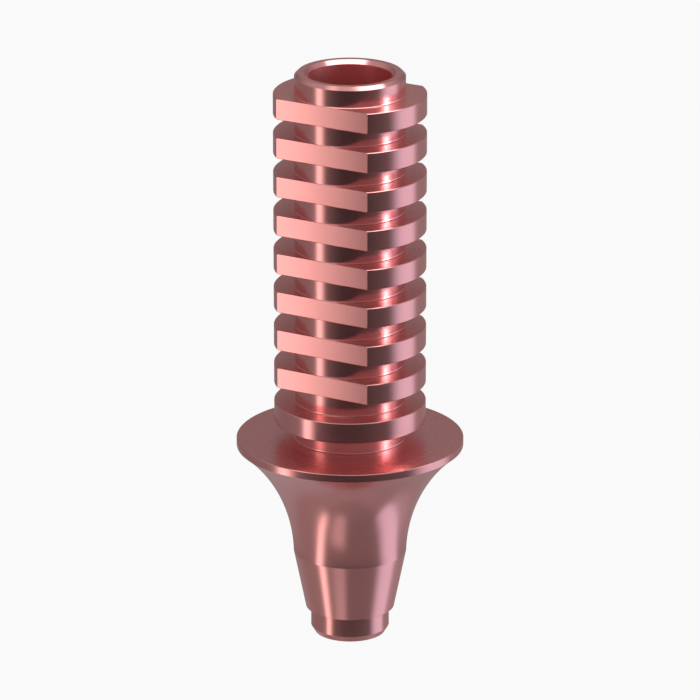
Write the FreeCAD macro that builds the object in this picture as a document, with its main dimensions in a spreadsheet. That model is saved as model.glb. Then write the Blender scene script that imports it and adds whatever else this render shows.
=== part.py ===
# Dental abutment with a retention chimney, turned from titanium bar in one piece and then milled.
#
# The part stands along +Z. Its origin is on the axis at the implant seat, where the bell of the
# collar meets the taper that drops into the implant. The two rows of flats face -Y and +Y.
# Lengths are in millimetres and angles in degrees.

import FreeCAD, Part
import math
import os

import Sketcher

# Driving dimensions

DIMENSIONS = (
    ("seat_diameter", 3.0, "where the bell meets the taper"),
    ("taper_length", 1.6, "from the seat down to the spigot"),
    ("taper_half_angle", 11.5, "between the taper and the axis"),
    ("spigot_step", 0.1345, "from the taper's foot in to the spigot's side"),
    ("spigot_length", 0.7, "from the taper to the lower end"),
    ("spigot_bevel_width", 0.1, "bevel round the lower end, across the axis"),
    ("spigot_bevel_height", 0.17, "bevel round the lower end, along the axis"),
    ("bell_radius", 4.0, "hollow curve of the collar's side"),
    ("collar_height", 3.0, "from the seat to the flange's lower edge"),
    ("flange_diameter", 6.0, "margin that the crown sits on"),
    ("flange_edge_height", 0.2, "upright rim of the flange"),
    ("tube_diameter", 2.9, "tube that carries the ring and the discs"),
    ("disc_diameter", 4.0, "retention discs and the plain ring"),
    ("disc_thickness", 0.55, "one disc, along the axis"),
    ("gap_width", 0.5, "neck above the flange and every gap between discs"),
    ("disc_count", 8, "discs with flats, above the plain ring"),
    ("flats_across", 2.95, "between the two rows of flats"),
    ("stub_height", 0.55, "tube above the top disc"),
    ("rim_bevel", 0.09, "bevel round the outside of the tube's rim"),
    ("bore_diameter", 2.2, "channel for the screw's head and the driver"),
    ("bore_bevel", 0.1, "bevel round the mouth of the channel"),
    ("screw_seat_height", 0.6, "top of the screw's cone seat, above the implant seat"),
    ("screw_hole_diameter", 1.7, "clearance hole for the screw's shank"),
    ("edge_break", 0.02, "bevel along the edges of the discs, ring, flange and taper"),
    ("root_bevel", 0.02, "corner that the grooving tool leaves at the foot of every disc"),
)

document = FreeCAD.newDocument("dental_abutment")
sheet = document.addObject("Spreadsheet::Sheet", "dims")
for row, (name, number, meaning) in enumerate(DIMENSIONS, start=1):
    sheet.set("A%d" % row, meaning)
    sheet.set("B%d" % row, str(number))
    sheet.setAlias("B%d" % row, name)
document.recompute()


class Size:
    """A length, angle or count that carries its number and its formula in the sheet."""

    def __init__(self, number, formula):
        self.number = number
        self.formula = formula

    def __add__(self, other):
        return Size(self.number + other.number, "(%s + %s)" % (self.formula, other.formula))

    def __sub__(self, other):
        return Size(self.number - other.number, "(%s - %s)" % (self.formula, other.formula))

    def __mul__(self, other):
        return Size(self.number * other.number, "%s * %s" % (self.formula, other.formula))

    def __neg__(self):
        return Size(-self.number, "-(%s)" % self.formula)

    def half(self):
        return Size(self.number / 2, "%s / 2" % self.formula)

    def tangent(self):
        return Size(math.tan(math.radians(self.number)), "tan(%s)" % self.formula)


def size(name):
    """A driving dimension, by its alias in the sheet."""
    return Size(float(sheet.get(name)), "dims." + name)


ON_AXIS = Size(0.0, "0")

# Radii

seat_radius = size("seat_diameter").half()
taper_foot_radius = seat_radius - size("taper_length") * size("taper_half_angle").tangent()
spigot_radius = taper_foot_radius - size("spigot_step")
flange_radius = size("flange_diameter").half()
tube_radius = size("tube_diameter").half()
disc_radius = size("disc_diameter").half()
bore_radius = size("bore_diameter").half()
screw_hole_radius = size("screw_hole_diameter").half()

# Levels along the axis, from the implant seat

seat_level = Size(0.0, "0")
taper_foot_level = -size("taper_length")
lower_end_level = -(size("taper_length") + size("spigot_length"))
flange_edge_level = size("collar_height")
flange_top_level = flange_edge_level + size("flange_edge_height")
ring_bottom_level = flange_top_level + size("gap_width")
ring_top_level = ring_bottom_level + size("disc_thickness")
disc_pitch = size("disc_thickness") + size("gap_width")
top_disc_level = ring_top_level + size("disc_count") * disc_pitch
tube_top_level = top_disc_level + size("stub_height")
screw_seat_level = size("screw_seat_height")


def origin_plane(body, role):
    """One of the body's own origin planes."""
    for feature in body.Origin.OriginFeatures:
        if feature.Role == role:
            return feature
    raise ValueError("no origin plane called " + role)


def hollow_arc(start, end, radius):
    """An arc between two points whose centre lies to the right of the way from start to end."""
    way = end - start
    half_chord = way.Length / 2
    to_the_right = FreeCAD.Vector(way.y, -way.x, 0).normalize()
    centre = (start + end) * 0.5 + to_the_right * math.sqrt(radius ** 2 - half_chord ** 2)
    first = math.atan2(end.y - centre.y, end.x - centre.x)
    last = math.atan2(start.y - centre.y, start.x - centre.x)
    circle = Part.Circle(centre, FreeCAD.Vector(0, 0, 1), radius)
    return Part.ArcOfCircle(circle, first, last)


def bind(sketch, constraint, name, value):
    """Add a constraint whose value is a formula of the sheet."""
    index = sketch.addConstraint(constraint)
    sketch.renameConstraint(index, name)
    sketch.setExpression("Constraints." + name, value.formula)


def outline_sketch(body, name, role, corners, level=None):
    """A closed outline on one of the body's planes, every corner tied to the sheet.

    A corner is its distance across, its distance up, and the radius of the hollow arc that
    leads to the next corner, or None where the edge to the next corner is straight. A corner
    that shares a value with the one before it is held level with it or above it.
    """
    sketch = body.newObject("Sketcher::SketchObject", name)
    sketch.AttachmentSupport = [(origin_plane(body, role), "")]
    sketch.MapMode = "FlatFace"
    if level is not None:
        sketch.setExpression(".AttachmentOffset.Base.z", level.formula)
    points = [FreeCAD.Vector(across.number, up.number, 0) for across, up, bend in corners]
    starts = []
    ends = []
    for index, (across, up, bend) in enumerate(corners):
        start = points[index]
        end = points[(index + 1) % len(corners)]
        if bend is None:
            edge = sketch.addGeometry(Part.LineSegment(start, end))
            starts.append((edge, 1))
            ends.append((edge, 2))
        else:
            edge = sketch.addGeometry(hollow_arc(start, end, bend.number))
            starts.append((edge, 2))
            ends.append((edge, 1))
            bind(sketch, Sketcher.Constraint("Radius", edge, bend.number), "bend%d" % index, bend)
    for index in range(len(corners)):
        following = (index + 1) % len(corners)
        sketch.addConstraint(Sketcher.Constraint("Coincident", *ends[index], *starts[following]))
    for index, (across, up, bend) in enumerate(corners):
        edge, end = starts[index]
        after_straight = index > 0 and corners[index - 1][2] is None
        if across.formula == "0":
            sketch.addConstraint(Sketcher.Constraint("PointOnObject", edge, end, -2))
        elif after_straight and across.formula == corners[index - 1][0].formula:
            sketch.addConstraint(Sketcher.Constraint("Vertical", index - 1))
        else:
            place = Sketcher.Constraint("DistanceX", -1, 1, edge, end, across.number)
            bind(sketch, place, "across%d" % index, across)
        if up.formula == "0":
            sketch.addConstraint(Sketcher.Constraint("PointOnObject", edge, end, -1))
        elif after_straight and up.formula == corners[index - 1][1].formula:
            sketch.addConstraint(Sketcher.Constraint("Horizontal", index - 1))
        else:
            place = Sketcher.Constraint("DistanceY", -1, 1, edge, end, up.number)
            bind(sketch, place, "up%d" % index, up)
    return sketch


def turned(body, kind, name, sketch):
    """A full turn of an outline about the Z axis: a Revolution adds it, a Groove cuts it."""
    feature = body.newObject("PartDesign::" + kind, name)
    feature.Profile = sketch
    feature.ReferenceAxis = (sketch, ["V_Axis"])
    feature.Angle = 360.0
    sketch.Visibility = False
    return feature


def built(feature):
    """Recompute the document and return the feature's shape."""
    document.recompute()
    return feature.Shape


SAME_PLACE = 1e-6


def circles(shape, radius, lowest, highest):
    """Names of the full circles of one radius whose level lies between two others."""
    found = []
    for index, edge in enumerate(shape.Edges, start=1):
        if edge.Curve.TypeId != "Part::GeomCircle" or not edge.isClosed():
            continue
        level = edge.Curve.Center.z
        same_radius = abs(edge.Curve.Radius - radius.number) < SAME_PLACE
        if same_radius and lowest.number - SAME_PLACE < level < highest.number + SAME_PLACE:
            found.append("Edge%d" % index)
    return found


body = document.addObject("PartDesign::Body", "abutment_body")
body.Label = "abutment_body"

# The turned blank: spigot, taper, bell, flange, neck, and a plain cylinder up to the top disc

blank_outline = outline_sketch(body, "blank_outline", "XZ_Plane", [
    (ON_AXIS, lower_end_level, None),
    (spigot_radius - size("spigot_bevel_width"), lower_end_level, None),
    (spigot_radius, lower_end_level + size("spigot_bevel_height"), None),
    (spigot_radius, taper_foot_level, None),
    (taper_foot_radius, taper_foot_level, None),
    (seat_radius, seat_level, size("bell_radius")),
    (flange_radius, flange_edge_level, None),
    (flange_radius, flange_top_level, None),
    (tube_radius, flange_top_level, None),
    (tube_radius, ring_bottom_level, None),
    (disc_radius, ring_bottom_level, None),
    (disc_radius, top_disc_level, None),
    (tube_radius, top_disc_level, None),
    (tube_radius, tube_top_level - size("rim_bevel"), None),
    (tube_radius - size("rim_bevel"), tube_top_level, None),
    (ON_AXIS, tube_top_level, None),
])
blank = turned(body, "Revolution", "turned_blank", blank_outline)

# The gaps, cut one after another with a grooving tool, leave the ring and the discs

gap_outer_radius = disc_radius + size("gap_width")
gap_outline = outline_sketch(body, "gap_outline", "XZ_Plane", [
    (tube_radius, ring_top_level, None),
    (gap_outer_radius, ring_top_level, None),
    (gap_outer_radius, ring_top_level + size("gap_width"), None),
    (tube_radius, ring_top_level + size("gap_width"), None),
])
gap = turned(body, "Groove", "gap", gap_outline)
gaps = body.newObject("PartDesign::LinearPattern", "gaps")
gaps.Originals = [gap]
gaps.Direction = (gap_outline, ["V_Axis"])
gaps.Mode = "Spacing"
gaps.setExpression("Offset", disc_pitch.formula)
gaps.setExpression("Occurrences", "dims.disc_count")
body.Tip = gaps

# Broken edges, and the corner that the tool leaves where every disc meets the tube

grooved = built(gaps)
break_edges = circles(grooved, disc_radius, ring_bottom_level, top_disc_level)
break_edges += circles(grooved, flange_radius, flange_top_level, flange_top_level)
break_edges += circles(grooved, taper_foot_radius, taper_foot_level, taper_foot_level)
edge_breaks = body.newObject("PartDesign::Chamfer", "edge_breaks")
edge_breaks.Base = (gaps, break_edges)
edge_breaks.setExpression("Size", "dims.edge_break")

broken = built(edge_breaks)
roots = body.newObject("PartDesign::Chamfer", "groove_roots")
roots.Base = (edge_breaks, circles(broken, tube_radius, flange_top_level, top_disc_level))
roots.setExpression("Size", "dims.root_bevel")

# Two rows of flats, milled from the top down to the gap above the plain ring

milling_level = ring_top_level + size("gap_width").half()
cutter_reach = disc_radius + size("gap_width")
flat_outline = outline_sketch(body, "flat_outline", "XY_Plane", [
    (-cutter_reach, -cutter_reach, None),
    (cutter_reach, -cutter_reach, None),
    (cutter_reach, -size("flats_across").half(), None),
    (-cutter_reach, -size("flats_across").half(), None),
], milling_level)
flat = body.newObject("PartDesign::Pocket", "flat")
flat.Profile = flat_outline
flat.Type = "ThroughAll"
flat.Reversed = True
flat_outline.Visibility = False
flats = body.newObject("PartDesign::Mirrored", "flats")
flats.Originals = [flat]
flats.MirrorPlane = (origin_plane(body, "XZ_Plane"), [""])
body.Tip = flats

# The screw channel: wide for the screw's head, a cone seat, then a clearance hole

screw_seat_foot = screw_seat_level - (bore_radius - screw_hole_radius)
channel_outline = outline_sketch(body, "channel_outline", "XZ_Plane", [
    (ON_AXIS, lower_end_level, None),
    (screw_hole_radius, lower_end_level, None),
    (screw_hole_radius, screw_seat_foot, None),
    (bore_radius, screw_seat_level, None),
    (bore_radius, tube_top_level - size("bore_bevel"), None),
    (bore_radius + size("bore_bevel"), tube_top_level, None),
    (ON_AXIS, tube_top_level, None),
])
channel = turned(body, "Groove", "screw_channel", channel_outline)
body.Tip = channel
document.recompute()

# Every step has to have worked, and every cut has to have taken metal away

for item in document.Objects:
    failed = [word for word in item.State if word in ("Invalid", "Error")]
    if failed:
        raise RuntimeError("%s did not build: %s" % (item.Name, failed))
for item in document.Objects:
    if item.TypeId == "Sketcher::SketchObject" and item.solve() != 0:
        raise RuntimeError("the outline %s is not solved" % item.Name)
steps = [blank, gap, gaps, edge_breaks, flat, flats, channel]
for before, after in zip(steps, steps[1:]):
    if not after.Shape.Volume < before.Shape.Volume:
        raise RuntimeError("%s cut nothing" % after.Name)
if body.Shape.isNull() or not body.Shape.isValid() or len(body.Shape.Solids) != 1:
    raise RuntimeError("the abutment is not one valid solid")

os.makedirs("parts", exist_ok=True)
body.Shape.exportStep("parts/%s.step" % body.Label)
print("abutment_body: volume %.3f mm3" % body.Shape.Volume)
print("box", body.Shape.BoundBox)
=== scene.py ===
# %% [markdown]
# # A dental abutment, turned from titanium and anodised pink
#
# The part is one piece of metal. A lathe turns it from bar, a mill cuts two rows of flats into its
# discs, and an electric bath colours it. This lesson rebuilds its skin as one fine surface, gives
# it a metal finish, and photographs it the way a small shiny thing is photographed.

# %% Load the frame
import math

import bpy
import numpy as np
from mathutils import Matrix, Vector


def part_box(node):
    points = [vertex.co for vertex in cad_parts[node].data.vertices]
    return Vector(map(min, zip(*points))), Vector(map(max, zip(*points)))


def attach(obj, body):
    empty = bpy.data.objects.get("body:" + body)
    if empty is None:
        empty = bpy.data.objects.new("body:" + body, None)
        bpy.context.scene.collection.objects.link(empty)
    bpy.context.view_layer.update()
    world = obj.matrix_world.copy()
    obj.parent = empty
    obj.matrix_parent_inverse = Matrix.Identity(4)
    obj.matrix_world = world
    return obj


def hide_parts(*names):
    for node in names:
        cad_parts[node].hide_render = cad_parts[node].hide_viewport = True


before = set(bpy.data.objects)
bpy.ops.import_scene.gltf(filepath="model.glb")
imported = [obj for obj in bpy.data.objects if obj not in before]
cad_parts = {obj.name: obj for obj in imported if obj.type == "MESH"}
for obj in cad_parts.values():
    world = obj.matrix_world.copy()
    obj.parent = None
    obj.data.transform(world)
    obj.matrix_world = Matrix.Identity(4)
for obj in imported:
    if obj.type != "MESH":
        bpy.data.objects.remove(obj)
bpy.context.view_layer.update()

MM = 0.001


# %% [markdown]
# ## The sizes
#
# The frame gives the overall sizes: how far the part reaches down and up its axis, and how wide
# its flange is. The rest are the sizes that a maker's drawing would give, in millimetres. Every
# level is worked out from them, so each number stands in one place. The last five are the smallest:
# how far each edge is broken, and how big the hollow is that a tool leaves at the root of a groove.

# %% Sizes in millimetres, from the frame and from the drawing
node_low, node_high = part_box("abutment_body")
LOWER_END = node_low.z / MM
TUBE_TOP = node_high.z / MM
FLANGE_RADIUS = node_high.x / MM

SEAT_RADIUS = 1.5
TAPER_LENGTH = 1.6
TAPER_HALF_ANGLE = math.radians(11.5)
SPIGOT_STEP = 0.1345
SPIGOT_BEVEL_WIDTH = 0.1
SPIGOT_BEVEL_HEIGHT = 0.17
BELL_RADIUS = 4.0
COLLAR_HEIGHT = 3.0
FLANGE_EDGE_HEIGHT = 0.2
TUBE_RADIUS = 1.45
DISC_RADIUS = 2.0
DISC_THICKNESS = 0.55
GAP = 0.5
DISC_COUNT = 8
FLAT_DISTANCE = 1.475
RIM_BEVEL = 0.09
BORE_RADIUS = 1.1
BORE_BEVEL = 0.1
SCREW_SEAT_HEIGHT = 0.6
SCREW_HOLE_RADIUS = 0.85

EDGE_BREAK = 0.016
FLAT_UPPER_BREAK = 0.004
FLAT_LOWER_BREAK = 0.014
ROOT_WIDTH = 0.02
ROOT_HEIGHT = 0.03

taper_foot_radius = SEAT_RADIUS - TAPER_LENGTH * math.tan(TAPER_HALF_ANGLE)
spigot_radius = taper_foot_radius - SPIGOT_STEP
flange_top = COLLAR_HEIGHT + FLANGE_EDGE_HEIGHT
ring_bottom = flange_top + GAP
milling_level = ring_bottom + DISC_THICKNESS + GAP / 2
print("flange top at %.2f mm, flats from %.2f mm up" % (flange_top, milling_level))

# %% [markdown]
# ## The profile
#
# A turned part is a profile carried round an axis. It could be drawn as a curve, but numbers put
# every corner where the drawing has it. The profile here is a closed loop of points, each a radius
# and a level: up the outside from the screw hole's lower edge to the rim, then down the channel and
# back. Straight runs need only their corners. The hollow side of the bell is an arc, and it is cut
# finely, because a bright reflection shows every facet of a curved mirror.

# %% The arc of the bell
BELL_STEPS = 72


def hollow_arc(start, end, radius, steps):
    """Points from start to end, without end, on a circle whose centre lies right of the way.

    The centre stands off the chord's middle by the square root of radius squared less half the
    chord squared. A point is the centre plus the radius times (cos a, sin a).
    """
    start = np.array(start)
    end = np.array(end)
    way = end - start
    chord = np.hypot(*way)
    to_the_right = np.array([way[1], -way[0]]) / chord
    centre = (start + end) / 2 + to_the_right * math.sqrt(radius ** 2 - (chord / 2) ** 2)
    angles = [math.atan2(*(point - centre)[::-1]) % (2 * math.pi) for point in (start, end)]
    a = np.linspace(*angles, steps + 1)[:-1]
    return centre + radius * np.stack([np.cos(a), np.sin(a)], axis=1)


bell = hollow_arc((SEAT_RADIUS, 0.0), (FLANGE_RADIUS, COLLAR_HEIGHT), BELL_RADIUS, BELL_STEPS)
print("the bell's arc has", len(bell), "points")


# %% The root of a groove, and the ring and the discs between the grooves
def root(level):
    """The small hollow that a tool's rounded tip leaves between a top and the tube above it.

    Three points draw it: its end on the top, its middle, and its end on the tube.
    """
    middle_width, middle_height = 0.4 * ROOT_WIDTH, 0.3 * ROOT_HEIGHT
    return [
        (TUBE_RADIUS + ROOT_WIDTH, level),
        (TUBE_RADIUS + middle_width, level + middle_height),
        (TUBE_RADIUS, level + ROOT_HEIGHT),
    ]


def disc_section(bottom):
    """One disc with broken edges, from its lower corner at the tube up to its root above."""
    top = bottom + DISC_THICKNESS
    return np.array([
        (TUBE_RADIUS, bottom),
        (DISC_RADIUS - EDGE_BREAK, bottom),
        (DISC_RADIUS, bottom + EDGE_BREAK),
        (DISC_RADIUS, top - EDGE_BREAK),
        (DISC_RADIUS - EDGE_BREAK, top),
        *root(top),
    ])


stack = [disc_section(ring_bottom + k * (DISC_THICKNESS + GAP)) for k in range(DISC_COUNT + 1)]
print("one ring and", len(stack) - 1, "discs")

# %% The whole profile
lower_part = np.array([
    (SCREW_HOLE_RADIUS, LOWER_END),
    (spigot_radius - SPIGOT_BEVEL_WIDTH, LOWER_END),
    (spigot_radius, LOWER_END + SPIGOT_BEVEL_HEIGHT),
    (spigot_radius, -TAPER_LENGTH),
    (taper_foot_radius - EDGE_BREAK, -TAPER_LENGTH),
    (taper_foot_radius + EDGE_BREAK * math.sin(TAPER_HALF_ANGLE), EDGE_BREAK - TAPER_LENGTH),
])
flange = np.array([
    (FLANGE_RADIUS, COLLAR_HEIGHT),
    (FLANGE_RADIUS, flange_top - EDGE_BREAK),
    (FLANGE_RADIUS - EDGE_BREAK, flange_top),
    *root(flange_top),
])
rim_and_channel = np.array([
    (TUBE_RADIUS, TUBE_TOP - RIM_BEVEL),
    (TUBE_RADIUS - RIM_BEVEL, TUBE_TOP),
    (BORE_RADIUS + BORE_BEVEL, TUBE_TOP),
    (BORE_RADIUS, TUBE_TOP - BORE_BEVEL),
    (BORE_RADIUS, SCREW_SEAT_HEIGHT),
    (SCREW_HOLE_RADIUS, SCREW_SEAT_HEIGHT - (BORE_RADIUS - SCREW_HOLE_RADIUS)),
])
profile = np.concatenate([lower_part, bell, flange, *stack, rim_and_channel])
print("the profile has", len(profile), "points")

# %% [markdown]
# ## The surface
#
# A Screw modifier could turn the profile and a Boolean could cut the flats, but a Boolean leaves
# long thin faces, which shade badly on polished metal. So the surface is worked out at once, as a
# grid: one row for each point of the profile, one column for each step round the axis. A milled
# flat is a plane, and in polar form a plane at the distance d from the axis is r = d / sin(angle).
# So a milled row's radius is the smaller of the disc's and the plane's. The columns are spaced so
# that one of them lies exactly on each corner where a flat begins, which keeps the corner sharp.

# %% The angles of the columns
ROUND_COLUMNS = 34
FLAT_COLUMNS = 30


def quarter_angles(outline):
    """Column angles over a quarter turn, per row: even steps up to the flat's corner, then on.

    The corner is where the radius meets the plane: its sine is the flats' distance / the radius.
    """
    corner_radius = np.clip(outline[:, 0], DISC_RADIUS - EDGE_BREAK, DISC_RADIUS)
    corner = np.arcsin(FLAT_DISTANCE / corner_radius)[:, None]
    before = np.arange(ROUND_COLUMNS) / ROUND_COLUMNS
    after = np.arange(FLAT_COLUMNS) / FLAT_COLUMNS
    return np.concatenate([corner * before, corner + (math.pi / 2 - corner) * after], axis=1)


def full_turn(quarter):
    """Column angles over the whole turn: a quarter, its mirror image, and both again.

    The mirror image of an angle is pi less the angle, and the second half is the first plus pi.
    """
    right_angle = np.full((len(quarter), 1), math.pi / 2)
    mirrored = math.pi - np.concatenate([right_angle, quarter[:, :0:-1]], axis=1)
    half = np.concatenate([quarter, mirrored], axis=1)
    return np.concatenate([half, half + math.pi], axis=1)


angles = full_turn(quarter_angles(profile))
print("columns round the axis:", angles.shape[1])

# %% The radius of every grid point
SMALLEST_SINE = 1e-9


def turned_surface(outline, angles):
    """Grid of points (r cos a, r sin a, z), with r the smaller of the outline's and the flat's.

    A row is milled where its level is above the milling level. On the rows at a disc's broken
    edges the plane lies a little further in, so that the flat's own edges are broken too.
    """
    turned, level = outline[:, :1], outline[:, 1:]
    at_an_edge = np.isclose(turned, DISC_RADIUS - EDGE_BREAK)
    below_the_disc = np.roll(turned, -1, axis=0) > turned
    edge_break = np.where(below_the_disc, FLAT_LOWER_BREAK, FLAT_UPPER_BREAK) * at_an_edge
    flat = (FLAT_DISTANCE - edge_break) / np.maximum(np.abs(np.sin(angles)), SMALLEST_SINE)
    radius = np.where(level > milling_level, np.minimum(turned, flat), turned)
    level = np.broadcast_to(level, radius.shape)
    return np.stack([radius * np.cos(angles), radius * np.sin(angles), level], axis=2)


points = turned_surface(profile, angles) * MM
rows, columns = points.shape[:2]
print("the grid has", rows, "rows and", columns, "columns")

# %% [markdown]
# ## The mesh
#
# Both directions of the grid close on themselves, as on a tyre, because the channel runs right
# through the part. Each face takes four neighbours on the grid, so the whole skin is closed and
# has no pole. An edge counts as sharp where the surface turns by more than a few degrees across
# it: that keeps the crease at the implant seat, and leaves the arcs smooth.

# %% Faces from the grid, sharp edges by angle
CREASE = math.radians(7)


def closed_grid_faces(rows, columns):
    """Faces (row, column), (row, next column), (next row, next column), (next row, column)."""
    index = np.arange(rows * columns).reshape(rows, columns)
    next_column = np.roll(index, -1, axis=1)
    next_row = np.roll(index, -1, axis=0)
    across = np.roll(next_row, -1, axis=1)
    return np.stack([index, next_column, across, next_row], axis=2).reshape(-1, 4)


def mesh_of(name, vertices, faces):
    """A mesh with smooth faces, and sharp edges where the surface turns by more than CREASE."""
    mesh = bpy.data.meshes.new(name)
    mesh.from_pydata(vertices.reshape(-1, 3), [], faces)
    mesh.shade_smooth()
    mesh.set_sharp_from_angle(angle=CREASE)
    return mesh


def add_object(name, data):
    """An object at the origin, in the scene."""
    added = bpy.data.objects.new(name, data)
    bpy.context.scene.collection.objects.link(added)
    return added


skin = mesh_of("abutment_skin", points, closed_grid_faces(rows, columns))
abutment = add_object("abutment", skin)
print("faces:", len(skin.polygons))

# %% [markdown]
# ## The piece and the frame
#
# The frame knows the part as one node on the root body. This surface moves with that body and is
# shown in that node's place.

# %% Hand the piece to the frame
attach(abutment, "root")
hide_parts("abutment_body")
print("the node abutment_body is shown as", abutment.name)

# %% [markdown]
# ## Where each finish lies
#
# One metal has several finishes. A lathe leaves fine rings round the axis, a mill leaves fine
# lines along a flat, and a tool that is drawn out of the channel leaves streaks along its wall.
# Faces and hollows come out duller than turned sides, and the rim's bevels are shinier. Under the
# discs and on the neck the pink is painted paler: painted light that brightens the gaps. Masks
# could be painted by hand, but the shape itself says where each finish lies. So the mesh carries
# numbers as
# attributes: how far along the profile a point is, and for each face whether it is milled or bored,
# how much painted gap light it takes, and how much duller than a turned side.

# %% How far along the profile each point lies, for the lathe's rings
def carry(name, domain, values):
    """Give the skin one number for each point or face, which the material reads by its name."""
    attribute = skin.attributes.new(name, "FLOAT", domain)
    attribute.data.foreach_set("value", values.astype(np.float32))


steps = np.hypot(*np.diff(profile, axis=0, append=profile[:1]).T)
way_along = np.concatenate([[0.0], np.cumsum(steps)[:-1]])
carry("along_profile", "POINT", np.repeat(way_along, columns))
print("once round the profile is %.1f mm" % steps.sum())

# %% Which faces lie where, by their centres and normals
NEAR = 1e-4
ALONG_THE_AXIS = 0.99
BEVEL_SLOPE = 0.7
SLOPE_SPREAD = 0.1


def face_vectors(kind):
    """One row for each face of the skin: its center or its normal."""
    values = np.zeros(len(skin.polygons) * 3)
    skin.polygons.foreach_get(kind, values)
    return values.reshape(-1, 3)


x, y, height = (face_vectors("center") / MM).T
normal_x, normal_y, normal_z = face_vectors("normal").T
distance = np.hypot(x, y)

on_flat = (np.abs(np.abs(normal_y) - 1) < NEAR) & (np.abs(y) > TUBE_RADIUS + ROOT_WIDTH)
under_a_disc = (normal_z < -ALONG_THE_AXIS) & (height > flange_top)
under_the_ring = under_a_disc & (height < ring_bottom + GAP)
on_the_neck = (height > flange_top) & (height < ring_bottom) & (distance < DISC_RADIUS)
in_bore = (x * normal_x + y * normal_y < 0) & (distance < BORE_RADIUS + NEAR)
on_a_face = (np.abs(normal_z) > ALONG_THE_AXIS) & (height > 0)
on_a_bevel = np.abs(np.abs(normal_z) - BEVEL_SLOPE) < SLOPE_SPREAD
on_the_rim = on_a_bevel & (height > TUBE_TOP - BORE_BEVEL)
print("faces: %d milled, %d bored, %d under the discs, %d on the rim's bevels"
      % (on_flat.sum(), in_bore.sum(), under_a_disc.sum(), on_the_rim.sum()))

# %% What each face is, how much painted gap light it takes, and how much duller than a turned side
carry("milled", "FACE", on_flat)
carry("bored", "FACE", in_bore)
# Painted light: the pink under the discs (1) and on the neck (0.3) is painted paler, to brighten
# the gaps.
carry("painted_gap_light", "FACE", np.select([under_a_disc, on_the_neck], [1.0, 0.3], 0.0))

# A face that is in two of these places takes the first one's number.
duller_by = [
    (in_bore, 0.14),
    (under_the_ring, 0.27),
    (on_the_neck, 0.04),
    (on_a_face, 0.07),
    (on_the_rim, -0.06),
    (on_flat, 0.01),
]
places, amounts = zip(*duller_by)
carry("finish", "FACE", np.select(list(places), list(amounts), 0.0))
carried = [attribute.name for attribute in skin.attributes if attribute.data_type == "FLOAT"]
print("the skin carries:", carried)

# %% [markdown]
# ## Shader maths in plain expressions
#
# A material is a graph of nodes, and a long sum is hard to read as a graph. The small class below
# wraps a socket, so that 1 - mask or rings * 0.3 in Python adds the Math node that does it. A
# second class holds a graph and adds any other node, from its kind, its settings and its inputs.

# %% A socket that can be added, subtracted and multiplied
class Value:
    """A number that varies over a surface: the output socket of a node."""

    def __init__(self, tree, socket):
        self.tree = tree
        self.socket = socket

    def math(self, operation, first, second):
        """One Math node for two numbers, each of them a Value or a plain one."""
        return self.tree.node("ShaderNodeMath", {"operation": operation}, {0: first, 1: second})

    def __add__(self, other):
        return self.math("ADD", self, other)

    def __sub__(self, other):
        return self.math("SUBTRACT", self, other)

    def __rsub__(self, other):
        return self.math("SUBTRACT", other, self)

    def __mul__(self, other):
        return self.math("MULTIPLY", self, other)

    __radd__ = __add__
    __rmul__ = __mul__


# %% A graph of nodes
class Tree:
    """The nodes of one material, of one lamp or of the world."""

    def __init__(self, node_tree):
        self.nodes = node_tree.nodes
        self.links = node_tree.links
        self.nodes.clear()

    def node(self, kind, settings=None, inputs=None, output=0):
        """Add a node of a kind: first its settings, then the values or links of its sockets."""
        made = self.nodes.new(kind)
        for name, setting in (settings or {}).items():
            setattr(made, name, setting)
        for name, value in (inputs or {}).items():
            if isinstance(value, Value):
                self.links.new(value.socket, made.inputs[name])
            else:
                made.inputs[name].default_value = value
        return Value(self, made.outputs[output]) if len(made.outputs) else None

    def smooth_step(self, value, start, end, low=0.0, high=1.0):
        """From low at start to high at end, level at both ends; start may be above end."""
        return self.node("ShaderNodeMapRange", {"interpolation_type": "SMOOTHSTEP"}, {
            "Value": value, "From Min": start, "From Max": end, "To Min": low, "To Max": high})

    def carried(self, name):
        """The number that the mesh carries under a name."""
        return self.node("ShaderNodeAttribute", {"attribute_name": name}, output="Fac")

    def squeezed(self, place, scale):
        """A place with its three sides multiplied: the larger a factor, the finer the pattern."""
        return self.node("ShaderNodeMapping", {}, {"Vector": place, "Scale": scale})

    def noise(self, place, scale, detail):
        """Soft random spots in space, from 0 to 1, with about scale of them to a metre."""
        return self.node("ShaderNodeTexNoise", {"noise_dimensions": "3D"},
                         {"Vector": place, "Scale": scale, "Detail": detail})

    def blend(self, share, colour, other):
        """The first colour where share is 0, the other where it is 1."""
        return self.node("ShaderNodeMix", {"data_type": "RGBA"},
                         {"Factor": share, "A": colour, "B": other}, output="Result")


def new_material(name):
    """An empty material and its graph."""
    material = bpy.data.materials.new(name)
    material.use_nodes = True
    return material, Tree(material.node_tree)


titanium, metal_tree = new_material("anodised_titanium")
place = metal_tree.node("ShaderNodeTexCoord", output="Object")
print(titanium.name, "starts with", len(metal_tree.nodes), "node")

# %% [markdown]
# ## The colour of anodised titanium
#
# The pink is no paint. A clear oxide skin, less than a fifth of a micrometre thick, makes light
# interfere, and a slightly thicker or thinner skin shifts the hue. The hue could be worked out from
# the skin's thickness, but a plain base colour on a metal is easier to match. It drifts slowly over
# the part. Under the discs and on the neck it is painted paler, as painted light in the gaps, and
# the tool's streaks on the wall of the channel are painted lighter, as painted highlights. No deep
# red is
# painted anywhere: two mirrors that face each other deepen a colour with every bounce, and that
# alone makes the gaps red.

# %% Pink that drifts, painted paler as light in the gaps, with streaks painted lighter along the bore
PINK = (0.87, 0.375, 0.380, 1.0)
PINK_THIN_OXIDE = (0.87, 0.388, 0.366, 1.0)
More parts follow.
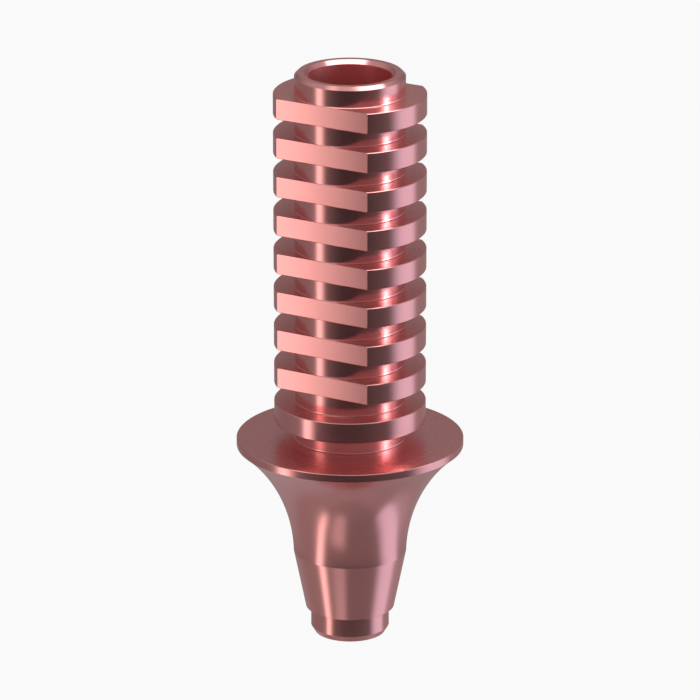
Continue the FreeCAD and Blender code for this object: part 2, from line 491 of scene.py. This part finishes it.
# Painted light: a paler pink for under the discs and on the neck, which brightens the gaps.
PINK_PAINTED_GAP_LIGHT = (0.89, 0.60, 0.60, 1.0)
# Painted highlights: a lighter pink for the tool's streaks on the wall of the channel.
PINK_STREAK_PAINTED_HIGHLIGHT = (0.99, 0.43, 0.43, 1.0)

bored = metal_tree.carried("bored")
along_the_bore = metal_tree.squeezed(place, (2200.0, 2200.0, 0.0))
streaks_painted_lighter = metal_tree.noise(along_the_bore, scale=1.0, detail=1.0)
streaks_painted_lighter = metal_tree.smooth_step(streaks_painted_lighter, 0.28, 0.56) * bored

drift = metal_tree.noise(place, scale=160.0, detail=2.0)
colour = metal_tree.blend(drift, PINK, PINK_THIN_OXIDE)
# Painted light: paler pink under the discs and on the neck.
colour = metal_tree.blend(metal_tree.carried("painted_gap_light"), colour, PINK_PAINTED_GAP_LIGHT)
# Painted highlights: the tool's streaks along the bore are painted lighter than the metal.
colour = metal_tree.blend(streaks_painted_lighter, colour, PINK_STREAK_PAINTED_HIGHLIGHT)
print("colour made with", len(metal_tree.nodes), "nodes")

# %% [markdown]
# ## The marks of the tools
#
# The marks could be cut into the mesh, but they are far finer than its faces. So they are noise,
# which goes into the roughness and into a very shallow bump. The rings are noise along the
# profile, so they run round the axis on every side and face. The mill's lines are noise that is
# squeezed across the flat and drawn out along it. A few smudges change the roughness alone.

# %% Rings, lines and smudges
RINGS_PER_MM = 28.0
TURNED_ROUGHNESS = 0.165
MARKS_SHARE = 0.05
SMUDGES_SHARE = 0.04

milled = metal_tree.carried("milled")
rings = metal_tree.node("ShaderNodeTexNoise", {"noise_dimensions": "1D"}, {
    "W": metal_tree.carried("along_profile") * RINGS_PER_MM, "Scale": 1.0, "Detail": 3.0})
along_the_flat = metal_tree.squeezed(place, (900.0, 1.0, 26000.0))
lines = metal_tree.noise(along_the_flat, scale=1.0, detail=2.0)
marks = rings * (1 - milled) + lines * milled
smudges = metal_tree.noise(place, scale=700.0, detail=4.0)

roughness = TURNED_ROUGHNESS + marks * MARKS_SHARE + smudges * SMUDGES_SHARE
roughness = roughness + metal_tree.carried("finish")
bump = metal_tree.node("ShaderNodeBump", {}, {
    "Strength": 0.02, "Distance": 0.00001, "Height": marks}, output="Normal")
print("with its marks:", len(metal_tree.nodes), "nodes")

# %% [markdown]
# ## The shine
#
# The metal is satin: its reflections are a little soft. Beside every bright one lies a faint haze
# too, which no single roughness gives. So a small share of a much rougher metal is mixed in,
# except in the channel, where the haze would hide the dark.

# %% Polished metal with a little haze
TINT_AT_A_LOW_ANGLE = (1.0, 0.95, 0.95, 1.0)
HAZE_ROUGHNESS = 0.6
HAZE_SHARE = 0.08


def metal(roughness):
    """A metal of this roughness, with the part's colour and marks."""
    return metal_tree.node("ShaderNodeBsdfPrincipled", {}, {
        "Base Color": colour, "Metallic": 1.0, "Roughness": roughness, "Normal": bump,
        "Specular Tint": TINT_AT_A_LOW_ANGLE})


shader = metal_tree.node("ShaderNodeMixShader", {}, {
    0: HAZE_SHARE * (1 - bored), 1: metal(roughness), 2: metal(HAZE_ROUGHNESS)})
metal_tree.node("ShaderNodeOutputMaterial", {}, {"Surface": shader})
skin.materials.append(titanium)
print("titanium has", len(titanium.node_tree.nodes), "nodes")

# %% [markdown]
# ## The camera
#
# The camera stands where the photograph's stood: a long lens, a little above the part, looking
# near the middle of its axis. Its distance and its angles follow from the outline's ellipses.

# %% Camera, with its angles in degrees
CAMERA_AZIMUTH = 29.6
CAMERA_ELEVATION = 19.17
CAMERA_DISTANCE = 138.5 * MM
FOCAL_LENGTH = 270.7
AIM = Vector((0, 0, 5.597)) * MM


def direction(azimuth, elevation):
    """Unit vector (sin a cos e, -cos a cos e, sin e), from two angles in degrees.

    The elevation e is counted from the level, and a is the camera's azimuth plus the given one,
    which is counted towards the camera's right.
    """
    a = math.radians(CAMERA_AZIMUTH + azimuth)
    e = math.radians(elevation)
    return Vector((math.sin(a) * math.cos(e), -math.cos(a) * math.cos(e), math.sin(e)))


camera_data = bpy.data.cameras.new("camera")
camera_data.sensor_width = 36.0
camera_data.lens = FOCAL_LENGTH
camera_data.clip_start = 0.01
camera_data.clip_end = 5.0
camera = add_object("camera", camera_data)
to_camera = direction(0, CAMERA_ELEVATION)
camera.location = AIM + CAMERA_DISTANCE * to_camera
camera.rotation_mode = "QUATERNION"
camera.rotation_quaternion = (-to_camera).to_track_quat("-Z", "Y")
bpy.context.scene.camera = camera
print("camera at", [round(side / MM, 2) for side in camera.location], "mm")

# %% [markdown]
# ## The light
#
# Polished metal has no look of its own: it shows its surroundings. Small shiny things are shot in
# a grey tent with a few softboxes close by, and the softboxes are what draws the bright bands. A
# softbox could be a glowing sheet, but an area lamp gives less noise. It gets its power from a
# stated brightness: a brightness of 1 looks white in a perfect mirror. Its sides fade, because the
# bands in the photograph have soft edges.

# %% What a softbox is, and the colours of light
WHITE = (1.0, 1.0, 1.0)
WARM = (1.08, 1.0, 0.93)
COOL = (0.80, 1.0, 1.26)
COLD = (0.70, 1.0, 1.2)


def softbox(name, centre, target, width, height, level, colour, soft):
    """An area lamp that faces a target: its power is brightness x pi x area.

    Its brightness fades over the given shares of its size, at the left, the right, the lower and
    the upper side as seen from the target.
    """
    data = bpy.data.lights.new(name, "AREA")
    data.shape = "RECTANGLE"
    data.size = width * MM
    data.size_y = height * MM
    data.energy = level * math.pi * data.size * data.size_y
    data.color = colour
    data.use_nodes = True
    tree = Tree(data.node_tree)
    spot = tree.node("ShaderNodeNewGeometry", output="Parametric")
    across = tree.node("ShaderNodeSeparateXYZ", {}, {0: spot}, output="X")
    upward = tree.node("ShaderNodeSeparateXYZ", {}, {0: spot}, output="Y")
    left, right, lower, upper = soft
    fade = tree.smooth_step(across, 0.0, left) * tree.smooth_step(across, 1.0, 1.0 - right)
    fade = fade * tree.smooth_step(upward, 0.0, lower) * tree.smooth_step(upward, 1.0, 1.0 - upper)
    glow = tree.node("ShaderNodeEmission", {}, {"Strength": fade})
    tree.node("ShaderNodeOutputLight", {}, {"Surface": glow})
    lamp = add_object(name, data)
    lamp.location = centre * MM
    lamp.rotation_mode = "QUATERNION"
    lamp.rotation_quaternion = (target - centre).to_track_quat("-Z", "Y")
    lamp.visible_camera = False
    return lamp


print("red to blue: warm light %.2f, cool light %.2f" % (WARM[0] / WARM[2], COOL[0] / COOL[2]))

# %% [markdown]
# ## Seven softboxes
#
# A narrow warm strip at the left draws the sharp bright line, and a wide cool one at the right
# draws the lilac band. A small strong one behind it, and higher, makes the glints on the tube
# between the discs. Three low ones are for the bell and the taper: the one in front draws their
# bright streak. The one overhead lights the rim and draws the thin lines on the discs' edges.


# %% Six that stand, with places in millimetres and azimuths in degrees right of the camera
def standing_softbox(name, azimuth, distance, lowest, highest, width, level, colour, soft):
    """A tall softbox beside the part, facing its axis."""
    middle = Vector((0, 0, (lowest + highest) / 2))
    centre = distance * direction(azimuth, 0) + middle
    return softbox(name, centre, middle, width, highest - lowest, level, colour, soft)


standing_softbox("left_strip", azimuth=-61, distance=12, lowest=-29, highest=22, width=5.5,
                 level=1.76, colour=WARM, soft=(0.41, 0.645, 0.25, 0.1))
standing_softbox("right_band", azimuth=87, distance=21, lowest=-45, highest=27, width=24.5,
                 level=0.74, colour=COOL, soft=(0.40, 0.27, 0.15, 0.1))
standing_softbox("right_low", azimuth=121, distance=21, lowest=-42, highest=-8, width=18.7,
                 level=0.13, colour=COOL, soft=(0.45, 0.45, 0.45, 0.25))
standing_softbox("back_left_low", azimuth=-152.5, distance=30, lowest=-100, highest=-12, width=35.4,
                 level=0.095, colour=COLD, soft=(0.35, 0.25, 0.3, 0.2))
standing_softbox("low_front", azimuth=-28, distance=30, lowest=-110, highest=-23.3, width=27.3,
                 level=0.43, colour=WHITE, soft=(0.47, 0.36, 0.5, 0.05))
right_glint = standing_softbox(
    "right_glint", azimuth=80, distance=40, lowest=14, highest=40, width=9.8,
    level=11.5, colour=WHITE, soft=(0.2, 0.2, 0.05, 0.2))
print("the glint's softbox gives %.1f mW" % (1000 * right_glint.data.energy))


# %% One that hangs overhead
def hanging_softbox(name, forward, right, height, depth, width, turn, level, colour, soft):
    """A flat softbox above the part, its long side across the view, turned by some degrees."""
    centre = forward * direction(0, 0) + right * direction(90, 0) + Vector((0, 0, height))
    lamp = softbox(name, centre, centre - Vector((0, 0, 1)), depth, width, level, colour, soft)
    lamp.rotation_mode = "XYZ"
    lamp.rotation_euler = (0, 0, math.radians(CAMERA_AZIMUTH + 90 - turn))
    return lamp


hanging_softbox("overhead", forward=1.15, right=3.62, height=23.2, depth=7.03, width=16.4, turn=14,
                level=2.65, colour=WHITE, soft=(0.05, 0.05, 0.05, 0.05))

# %% [markdown]
# ## The tent
#
# Where no softbox shows, the metal mirrors the tent. A picture of a studio could stand there, but
# a cloth worked out from two angles needs no picture: how far round from the camera a point lies,
# and how high. It has a grey table below, a dark wall in front, which the metal shows between its
# bright bands, a paler wall behind, and a sky that grows brighter upwards, with one small bright
# patch high at the left. The tent is a large sphere that only reflections see, so it casts no
# shadow.

# %% A sphere round the part
TENT_RADIUS = 150.0
TENT_STEPS = 48


def sphere(radius, steps):
    """Grid of points radius (cos e cos a, cos e sin a, sin e), poles included."""
    e = np.linspace(-math.pi / 2, math.pi / 2, steps + 1)[:, None]
    a = np.linspace(0, 2 * math.pi, 2 * steps, endpoint=False)[None, :]
    unit = [np.cos(e) * np.cos(a), np.cos(e) * np.sin(a), np.sin(e) + 0 * a]
    return radius * np.stack(unit, axis=2)


# The last row of faces would lead from the upper pole back to the lower one, so it is left out.
tent_points = sphere(TENT_RADIUS, TENT_STEPS) * MM
tent_faces = closed_grid_faces(*tent_points.shape[:2])[:-tent_points.shape[1]]
tent = add_object("tent", mesh_of("tent", tent_points, tent_faces))
tent.visible_camera = False
tent.visible_diffuse = False
tent.visible_shadow = False
tent.visible_transmission = False
print("the tent has", len(tent.data.polygons), "faces")

# %% The two angles of a point on the tent
tent_cloth, cloth_tree = new_material("tent_cloth")
outward = cloth_tree.node("ShaderNodeVectorMath", {"operation": "NORMALIZE"}, {
    0: cloth_tree.node("ShaderNodeTexCoord", output="Object")})


def part_along(azimuth, elevation):
    """The part of the outward direction that points a given way, from -1 to 1."""
    return cloth_tree.node("ShaderNodeVectorMath", {"operation": "DOT_PRODUCT"}, {
        0: outward, 1: direction(azimuth, elevation)}, output="Value")


def between(angle, start, end, low=0.0, high=1.0):
    """From low at an angle of start degrees to high at end degrees, level at both ends."""
    return cloth_tree.smooth_step(angle, math.radians(start), math.radians(end), low, high)


to_the_front = part_along(0, 0)
to_the_right = part_along(90, 0)
angle_round = cloth_tree.node("ShaderNodeMath", {"operation": "ARCTAN2"}, {
    0: to_the_right, 1: to_the_front})
angle_up = cloth_tree.node("ShaderNodeMath", {"operation": "ARCSINE"}, {0: part_along(0, 90)})
print("two angles made with", len(cloth_tree.nodes), "nodes")

# %% How bright the table, the wall and the sky are
front = (1 - between(angle_round, -62, -68)) * (1 - between(angle_round, 62, 95))

table = (0.28 - to_the_front * 0.06) * (1 - front) + front * 0.205
table = table + between(angle_up, -60, -80, 0.0, 0.05)

front_left = between(angle_round, -12, -62, 0.0, 0.11)
front_right = between(angle_round, 5, 60, 0.0, 0.06)
wall = (to_the_right * 0.03 + 0.27) * (1 - front) + front * (0.032 + front_left + front_right)

sky = between(angle_up, 15, 20, 0.213, 0.223)
sky = sky + between(angle_up, 19, 52, 0.0, 0.275)
sky = sky + between(angle_up, 55, 75, 0.0, 0.05)
patch_edge, patch_middle = math.cos(math.radians(10)), math.cos(math.radians(3))
sky = sky + cloth_tree.smooth_step(part_along(-65, 66), patch_edge, patch_middle, 0.0, 0.45)
print("table, wall and sky made with", len(cloth_tree.nodes), "nodes")

# %% The cloth, from the table up to the sky
above_the_table = between(angle_up, -27, -22)
above_the_wall = between(angle_up, 4, 12)
level = table * (1 - above_the_table) + wall * above_the_table * (1 - above_the_wall)
level = level + sky * above_the_wall
glow = cloth_tree.node("ShaderNodeEmission", {}, {
    "Color": (1.0, 1.0, 1.0, 1.0), "Strength": level})
cloth_tree.node("ShaderNodeOutputMaterial", {}, {"Surface": glow})
tent.data.materials.append(tent_cloth)
print("the tent's cloth has", len(cloth_tree.nodes), "nodes")

# %% [markdown]
# ## Floor and background
#
# The photograph's background is a plain near-white with no edge, so the floor lies well below the
# part, which is held by its implant seat and stands on nothing. The camera sees the floor and the
# world in one pale colour, and mirrors would too where the tent didn't stand in the way.

# %% A pale floor
PALE = (0.956, 0.956, 0.956, 1.0)
FLOOR_BELOW_THE_TENT = 10.0
FLOOR_LEVEL = -TENT_RADIUS - FLOOR_BELOW_THE_TENT
FLOOR_HALF_WIDTH = 2000.0
GLOW_SHARE = 0.9


def seen_directly(tree):
    """1 for rays from the camera, from a mirror or through glass, and 0 for the rest."""
    path = "ShaderNodeLightPath"
    camera_ray = tree.node(path, output="Is Camera Ray")
    glossy_ray = tree.node(path, output="Is Glossy Ray")
    clear_ray = tree.node(path, output="Is Transmission Ray")
    return camera_ray.math("MAXIMUM", camera_ray, glossy_ray + clear_ray)


reach = FLOOR_HALF_WIDTH * MM
corners = np.array([(-reach, -reach), (reach, -reach), (reach, reach), (-reach, reach)])
floor_points = np.column_stack([corners, np.full(4, FLOOR_LEVEL * MM)])
floor = add_object("floor", mesh_of("floor", floor_points, [[0, 1, 2, 3]]))

pale_floor, floor_tree = new_material("pale_floor")
floor_shader = floor_tree.node("ShaderNodeMixShader", {}, {
    0: seen_directly(floor_tree) * GLOW_SHARE,
    1: floor_tree.node("ShaderNodeBsdfDiffuse", {}, {"Color": PALE}),
    2: floor_tree.node("ShaderNodeEmission", {}, {"Color": PALE, "Strength": 1.0})})
floor_tree.node("ShaderNodeOutputMaterial", {}, {"Surface": floor_shader})
floor.data.materials.append(pale_floor)
print("floor at", FLOOR_LEVEL, "mm")

# %% A world of the same colour
world = bpy.data.worlds.new("world")
world.use_nodes = True
world_tree = Tree(world.node_tree)
plain = world_tree.node("ShaderNodeBackground", {}, {"Color": PALE, "Strength": 1.0})
world_tree.node("ShaderNodeOutputWorld", {}, {"Surface": plain})
bpy.context.scene.world = world
bpy.context.scene.view_settings.view_transform = "Standard"
print("view transform:", bpy.context.scene.view_settings.view_transform)
